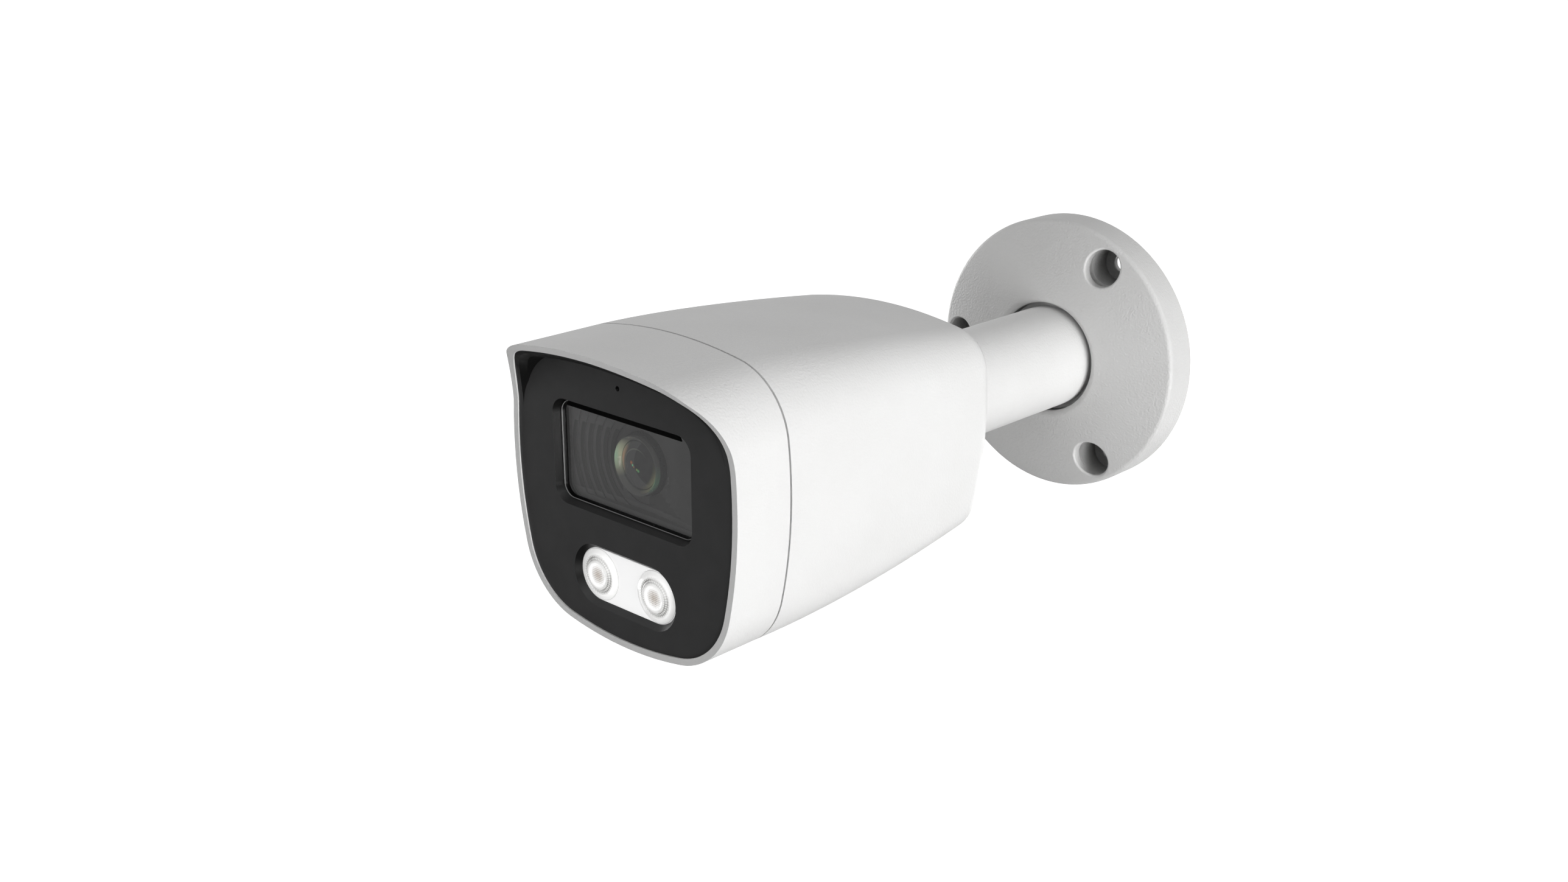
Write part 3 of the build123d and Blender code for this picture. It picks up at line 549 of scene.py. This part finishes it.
def chip_black():
    made, tree, shader = new_material("chip_black", 0.5)
    tint(tree, shader, noise(tree, 2 * MM), (0.02, 0.02, 0.022), (0.035, 0.035, 0.037))
    relief(tree, shader, cells(tree, 0.12 * MM), 0.01 * MM)
    return made


def connector_white():
    made, tree, shader = new_material("connector_white", 0.42)
    tint(tree, shader, noise(tree, 3 * MM), (0.76, 0.74, 0.66), (0.82, 0.80, 0.73))
    relief(tree, shader, noise(tree, 0.25 * MM), 0.01 * MM)
    return made


def ribbon_white():
    """Flat cable with conductors side by side."""
    made, tree, shader = new_material("ribbon_white", 0.4)
    wave = tree.nodes.new("ShaderNodeTexWave")
    wave.inputs["Scale"].default_value = 160.0
    tree.links.new(place(tree), wave.inputs["Vector"])
    tint(tree, shader, wave.outputs["Fac"], (0.5, 0.5, 0.5), (0.82, 0.82, 0.8))
    relief(tree, shader, wave.outputs["Fac"], 0.06 * MM)
    return made


def metal(name, dark, light, roughness, grain, stretch=(1, 1, 1)):
    """Bare metal with a fine machined or rolled grain."""
    made, tree, shader = new_material(name, roughness, 1.0)
    tint(tree, shader, noise(tree, 2 * MM), dark, light)
    fine = noise(tree, grain, detail=3.0, stretch=stretch)
    gloss(tree, shader, fine, roughness - 0.08, roughness + 0.1)
    relief(tree, shader, fine, 0.01 * MM, 0.6)
    return made


def brass_hex():
    return metal("brass_hex", (0.60, 0.44, 0.18), (0.70, 0.53, 0.24), 0.28, 0.2 * MM, (1, 8, 1))


def bare_aluminium():
    return metal("bare_aluminium", (0.62, 0.63, 0.64), (0.72, 0.73, 0.74), 0.36, 0.3 * MM, (6, 1, 1))


def steel():
    return metal("steel", (0.48, 0.48, 0.47), (0.60, 0.60, 0.59), 0.3, 0.2 * MM)


def pad_blue():
    made, tree, shader = new_material("pad_blue", 0.75)
    tint(tree, shader, noise(tree, 1.5 * MM), (0.22, 0.36, 0.52), (0.30, 0.44, 0.60))
    relief(tree, shader, cells(tree, 0.4 * MM), 0.03 * MM)
    return made


def nylon():
    made, tree, shader = new_material("nylon", 0.45, sockets={"Subsurface Weight": 0.1})
    tint(tree, shader, noise(tree, 2 * MM), (0.72, 0.72, 0.67), (0.80, 0.80, 0.76))
    relief(tree, shader, noise(tree, 0.3 * MM), 0.015 * MM)
    return made


def window_trim():
    """Glossy dark edge whose outer lip is painted lighter as a highlight and whose inner slope is black."""
    made, tree, shader = new_material("window_trim", 0.22, sockets={"Specular IOR Level": 0.8})
    _, y, _ = split_axes(tree, "Object")
    # The lip's grey is a painted highlight on a black edge.
    shade = ramp(tree, noise(tree, 1 * MM), ((0.3, (0.17, 0.17, 0.17)), (0.7, (0.21, 0.21, 0.21))))
    inner = remap(tree, y, -0.84 * MM, -0.78 * MM, 0.0, 1.0)
    tree.links.new(paint(tree, shade, inner, (0.004, 0.004, 0.004)), shader.inputs["Base Color"])
    tree.links.new(remap(tree, inner, 0.0, 1.0, 0.75, 0.1), shader.inputs["Specular IOR Level"])
    gloss(tree, shader, noise(tree, 0.5 * MM), 0.18, 0.28)
    return made


def deep_black():
    """Near black that hardly shines, for the strip that stands in for a shadow."""
    made, tree, shader = new_material("deep_black", 0.8, sockets={"Specular IOR Level": 0.05})
    tint(tree, shader, noise(tree, 0.4 * MM), (0.0015, 0.0015, 0.0015), (0.003, 0.003, 0.003))
    return made


MAKERS = (
    white_paint, black_face, clear_window, lens_coated, lens_black, shroud_grey, black_plastic, black_rubber,
    lamp_white, lamp_clear, lamp_chip, filter_glass, circuit_green, circuit_white, chip_black,
    connector_white, ribbon_white, brass_hex, bare_aluminium, steel, pad_blue, nylon,
    plate_paint, window_trim, deep_black,
)
materials = {make.__name__: make() for make in MAKERS}

for subpart in frame["record"]["subparts"]:
    thing = nodes[subpart["node"]]
    thing.data.materials.clear()
    thing.data.materials.append(materials[subpart["material_slot"]])
nodes["wall_plate"].data.materials.clear()
nodes["wall_plate"].data.materials.append(materials["plate_paint"])


# ---------------------------------------------------------------- pieces made here
def add_object(name, data):
    made = bpy.data.objects.new(name, data)
    bpy.context.scene.collection.objects.link(made)
    return made


def loft(name, loops, capped=True):
    """Mesh skinned over loops of equal length, in millimetres, and capped, or else joined last to first."""
    shape = bmesh.new()
    rows = [[shape.verts.new(Vector(point) * MM) for point in loop] for loop in loops]
    pairs = zip(rows, rows[1:] + ([] if capped else rows[:1]))
    for row, following in pairs:
        for index in range(len(row)):
            after = (index + 1) % len(row)
            shape.faces.new((row[index], row[after], following[after], following[index]))
    if capped:
        shape.faces.new(rows[0])
        shape.faces.new(rows[-1])
    bmesh.ops.recalc_face_normals(shape, faces=shape.faces)
    mesh = bpy.data.meshes.new(name)
    shape.to_mesh(mesh)
    shape.free()
    mesh.shade_smooth()
    return add_object(name, mesh)


def turned_loops(profile, segments, lift=None):
    """Rings about the y axis through (radius, y) pairs; lift, if given, moves each point along y."""
    loops = []
    for radius, y in profile:
        ring = []
        for index in range(segments):
            angle = math.tau * index / segments
            x, z = radius * math.cos(angle), radius * math.sin(angle)
            ring.append((x, y + (lift(x, z) if lift else 0.0), z))
        loops.append(ring)
    return loops


def between(steps, value):
    """Value on a line through (position, value) steps."""
    for (start, low), (end, high) in zip(steps, steps[1:]):
        if value <= end:
            return low + (high - low) * (value - start) / (end - start)
    return steps[-1][1]


def finish_piece(piece, location, slot, *replaced):
    piece.location = location
    piece.data.materials.append(materials[slot])
    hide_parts(*replaced)
    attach(piece, "camera")


def lamp_front(x, z):
    """Relief of a lamp lens's face: a square of tiny dimples in the middle and a ring of facets."""
    radius, angle = math.hypot(x, z), math.atan2(z, x)
    dimple_depth, grid_half = 0.06, 5 * LAMP_GRID_PITCH
    if max(abs(x), abs(z)) < grid_half:
        turns = [math.pi * value / LAMP_GRID_PITCH for value in (x, z)]
        return dimple_depth * math.sin(turns[0]) ** 2 * math.sin(turns[1]) ** 2
    facet_height, facets, inner, outer, row = 0.05, 48, 3.0, 4.44, 0.36
    if inner < radius < outer:
        return facet_height * math.cos(facets * angle) * math.sin(math.pi * (radius - inner) / row)
    return 0.0


def lamp_lenses():
    """Two moulded domed lenses with a thin flange, a ring of facets and a dimpled square."""
    low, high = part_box("led_lenses")
    radius = (high.z - low.z) / 2 / MM
    depth = (high.y - low.y) / MM
    flange_width, rings, segments = 0.43, 68, 192
    flange = radius + flange_width
    steps = (
        (0.0, -0.75), (2.1, -0.75), (2.5, -0.88), (2.9, -0.92), (3.3, -0.8), (3.7, -0.55), (4.1, -0.6),
        (4.5, -0.45), (5.1, -0.2), (flange - 0.12, -0.06), (flange, -0.03),
    )
    fine = [flange * index / rings for index in range(1, rings + 1)]
    front = [(r, between(steps, r)) for r in fine]
    back = [
        (flange, 0.02), (radius - 0.02, 0.02), (radius - 0.02, 0.6), (radius - 0.25, 1.0),
        (radius - 1.2, depth / 2), (radius - 1.8, depth), (0.05, depth),
    ]
    for side, x in (("left", low.x + radius * MM), ("right", high.x - radius * MM)):
        loops = turned_loops(front, segments, lamp_front) + turned_loops(back, segments)
        lens = loft("lamp_lens_" + side, loops)
        finish_piece(lens, (x, low.y, (low.z + high.z) / 2), "lamp_clear", "led_lenses")


def lens_front():
    """Front lens and the bevelled ring that holds it, as one piece close behind the window."""
    low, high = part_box("lens_front_element")
    ring_low, ring_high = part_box("lens_retaining_ring")
    rim = (ring_high.x - ring_low.x) / 2 / MM
    gap_to_window = 0.05
    forward = (ring_low.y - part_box("window_glass")[1].y) / MM - gap_to_window
    depth = (high.y - ring_low.y) / MM + forward
    glass_radius, pole, bulge, rings, segments = 5.05, 0.1, 1.15, 24, 128
    fractions = [index / rings for index in range(1, rings + 1)]
    front = [(glass_radius * fraction, pole + bulge * fraction ** 2) for fraction in fractions]
    bevel = [(5.1, 1.32), (5.16, 1.30), (5.3, 0.9), (rim - 0.25, 0.32), (rim - 0.08, 0.12), (rim, 0.16)]
    back = [(rim, 0.7 + forward), (5.1, 1.6 + forward), (4.9, depth), (0.05, depth)]
    glass = loft("lens_front", turned_loops(front + bevel + back, segments))
    centre = ((low.x + high.x) / 2, ring_low.y - forward * MM, (low.z + high.z) / 2)
    finish_piece(glass, centre, "lens_coated", "lens_front_element", "lens_retaining_ring")


def rounded_loop(width, height, corner, y, steps=10):
    """Rounded rectangle in the xz plane."""
    loop = []
    for quarter, (across, up) in enumerate(((1, 1), (-1, 1), (-1, -1), (1, -1))):
        for index in range(steps + 1):
            angle = math.pi / 2 * (quarter + index / steps)
            x = across * (width / 2 - corner) + corner * math.cos(angle)
            z = up * (height / 2 - corner) + corner * math.sin(angle)
            loop.append((x, y, z))
    return loop


def window_opening():
    """Width and height of the part of the window that shows, in millimetres, and the middle of its front."""
    low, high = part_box("window_glass")
    hidden_across, hidden_up, clearance = 3.2, 3.7, 0.01
    size = (high.x - low.x) / MM - hidden_across, (high.z - low.z) / MM - hidden_up
    return *size, ((low.x + high.x) / 2, low.y - clearance * MM, (low.z + high.z) / 2)


def window_edge():
    """Polished bevel that frames the window where it meets the cover."""
    width, height, middle = window_opening()
    profile = ((0.0, 0.0), (0.0, -0.95), (0.1, -1.0), (0.3, -0.8), (0.8, -0.3), (0.86, 0.0))
    loops = [rounded_loop(width - cut, height - cut, 3.0 - cut / 2, y) for cut, y in profile]
    edge = loft("window_edge", loops, capped=False)
    edge.location = middle
    edge.data.materials.append(materials["window_trim"])
    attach(edge, "camera")


def window_shadow_strip():
    """Black strip that stands in for the shadow under the window's upper edge, with both ends slanted."""
    width, height, middle = window_opening()
    left, right, top, drop = -width / 2 + 0.4, width / 2 - 5.1, height / 2 - 0.02, 1.5
    outline = ((left, top), (right, top), (right + 0.75, top - drop), (left + 0.8, top - drop))
    middle_x, middle_z = (left + right) / 2, top - drop / 2
    loops = []
    for y, inset in ((0.0, 0.0), (-0.25, 0.0), (-0.3, 0.06)):
        loop = []
        for x, z in outline:
            loop.append((
                x - math.copysign(inset, x - middle_x),
                y,
                z - math.copysign(inset, z - middle_z),
            ))
        loops.append(loop)
    shade = loft("window_shadow_strip", loops)
    shade.data.shade_flat()
    shade.location = middle
    shade.data.materials.append(materials["deep_black"])
    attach(shade, "camera")


lamp_lenses()
lens_front()
window_edge()
window_shadow_strip()
# The window casts no shadow, so the lights reach the parts behind it directly.
nodes["window_glass"].visible_shadow = False


# ---------------------------------------------------------------- stage, light and camera
def aim(thing, target):
    thing.rotation_mode = "QUATERNION"
    thing.rotation_quaternion = (Vector(target) - thing.location).to_track_quat("-Z", "Y")


def floor():
    """Plain pale floor with a far wall round it, evenly white like a light table."""
    made, tree, shader = new_material("floor", 0.9, sockets={"Emission Strength": 1.0})
    tint(tree, shader, noise(tree, 0.5), (0.48, 0.48, 0.48), (0.5, 0.5, 0.5))
    shader.inputs["Emission Color"].default_value = (0.95, 0.95, 0.95, 1)
    reach, gap_below, sides = 4.0, 0.12, 48
    height = cad_box[0].z - gap_below
    angles = [math.tau * side / sides for side in range(sides)]
    ring = [(math.cos(angle), math.sin(angle)) for angle in angles]
    low = [(reach * x, reach * y, height) for x, y in ring]
    high = [(reach * x, reach * y, height + 2 * reach) for x, y in ring]
    wall = [(side, (side + 1) % sides, sides + (side + 1) % sides, sides + side) for side in range(sides)]
    for name, corners, faces in (("floor", low, [tuple(range(sides))]), ("far_wall", low + high, wall)):
        mesh = bpy.data.meshes.new(name)
        mesh.from_pydata(corners, [], faces)
        mesh.materials.append(made)
        ground = add_object(name, mesh)
        ground.visible_diffuse = False
        ground.visible_shadow = False
        ground.visible_glossy = False
        ground.visible_transmission = False


def area_light(name, location, target, width, height, power):
    data = bpy.data.lights.new(name, "AREA")
    data.shape = "RECTANGLE"
    data.size, data.size_y = width, height
    data.energy = power
    lamp = add_object(name, data)
    lamp.location = location
    aim(lamp, target)


def lighting():
    """A grey dome, darker below, a large soft key light from the right and weaker ones left and behind."""
    world = bpy.data.worlds.new("studio")
    bpy.context.scene.world = world
    world.use_nodes = True
    tree = world.node_tree
    where = tree.nodes.new("ShaderNodeTexCoord")
    split = tree.nodes.new("ShaderNodeSeparateXYZ")
    tree.links.new(where.outputs["Generated"], split.inputs["Vector"])
    height = remap(tree, split.outputs["Z"], -0.3, 0.7, 0.0, 1.0)
    greys = ((0.0, 0.09), (0.4, 0.34), (1.0, 0.66))
    dome = ramp(tree, height, [(stop, (grey, grey, grey)) for stop, grey in greys])
    tree.links.new(dome, tree.nodes["Background"].inputs["Color"])
    centre = (cad_box[0] + cad_box[1]) / 2
    area_light("key", centre + Vector((1.85, -0.5, -0.5)), centre, 1.5, 1.2, 47)
    area_light("left", centre + Vector((-1.95, 0.12, -0.25)), centre, 1.2, 1.2, 24)
    area_light("back", centre + Vector((-0.3, 1.95, -0.4)), centre, 1.2, 1.2, 24)


def camera():
    data = bpy.data.cameras.new("camera_view")
    data.sensor_width = 36.0
    data.lens = 39.58
    data.clip_start, data.clip_end = 0.01, 100.0
    azimuth, elevation = math.radians(43.52), math.radians(18.76)
    forward = Vector((
        -math.sin(azimuth) * math.cos(elevation),
        math.cos(azimuth) * math.cos(elevation),
        -math.sin(elevation),
    ))
    viewer = add_object("camera_view", data)
    viewer.location = (0.24413, -0.36625, 0.12143)
    viewer.rotation_mode = "QUATERNION"
    viewer.rotation_quaternion = forward.to_track_quat("-Z", "Y")
    bpy.context.scene.camera = viewer


floor()
lighting()
camera()
bpy.context.scene.view_settings.view_transform = "Standard"
